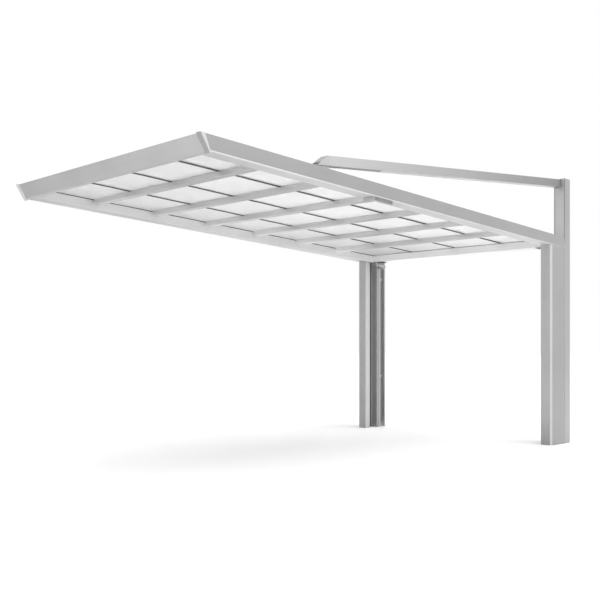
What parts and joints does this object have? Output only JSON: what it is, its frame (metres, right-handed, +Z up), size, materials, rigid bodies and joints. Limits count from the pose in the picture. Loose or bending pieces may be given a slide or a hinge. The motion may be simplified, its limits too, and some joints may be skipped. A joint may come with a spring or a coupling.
{
  "type": "carport",
  "caption": "Open single-car carport: a gently sloping translucent roof on side beams and rafters, carried forward from the rear posts and hung from masts by sloping arms.",
  "frame": {"origin": "on the ground, in the middle of the right post's closed front box", "axes": "+Z up, +Y towards the back where the posts stand, +X towards the right side as seen from the open front"},
  "size_m": [2.726, 4.9854, 2.835],
  "materials": {
    "silver_aluminium": "satin anodised",
    "end_cap": "satin moulded",
    "bracket_metal": "satin",
    "polycarbonate_sheet": "translucent",
    "joint_strip": "matt",
    "pipe_plastic": "satin"
  },
  "bodies": {
    "root": {"right_post": "silver_aluminium", "left_post": "silver_aluminium", "right_mast": "silver_aluminium", "left_mast": "silver_aluminium", "right_mast_cap": "end_cap", "left_mast_cap": "end_cap", "right_side_beam": "silver_aluminium", "left_side_beam": "silver_aluminium", "right_beam_cap": "end_cap", "left_beam_cap": "end_cap", "brace_bracket": "bracket_metal", "front_fascia": "silver_aluminium", "rear_gutter": "silver_aluminium", "gutter_end_caps": "end_cap", "rafter_1": "silver_aluminium", "rafter_2": "silver_aluminium", "rafter_3": "silver_aluminium", "rafter_4": "silver_aluminium", "rafter_5": "silver_aluminium", "rafter_6": "silver_aluminium", "roof_panel_1": "polycarbonate_sheet", "roof_panel_2": "polycarbonate_sheet", "roof_panel_3": "polycarbonate_sheet", "roof_panel_4": "polycarbonate_sheet", "joint_bar_1": "joint_strip", "joint_bar_2": "joint_strip", "joint_bar_3": "joint_strip", "right_arm": "silver_aluminium", "left_arm": "silver_aluminium", "right_arm_nose": "end_cap", "left_arm_nose": "end_cap", "right_arm_foot": "bracket_metal", "left_arm_foot": "bracket_metal", "right_downpipe": "pipe_plastic", "left_downpipe": "pipe_plastic", "pipe_clips": "bracket_metal"}
  },
  "joints": []
}
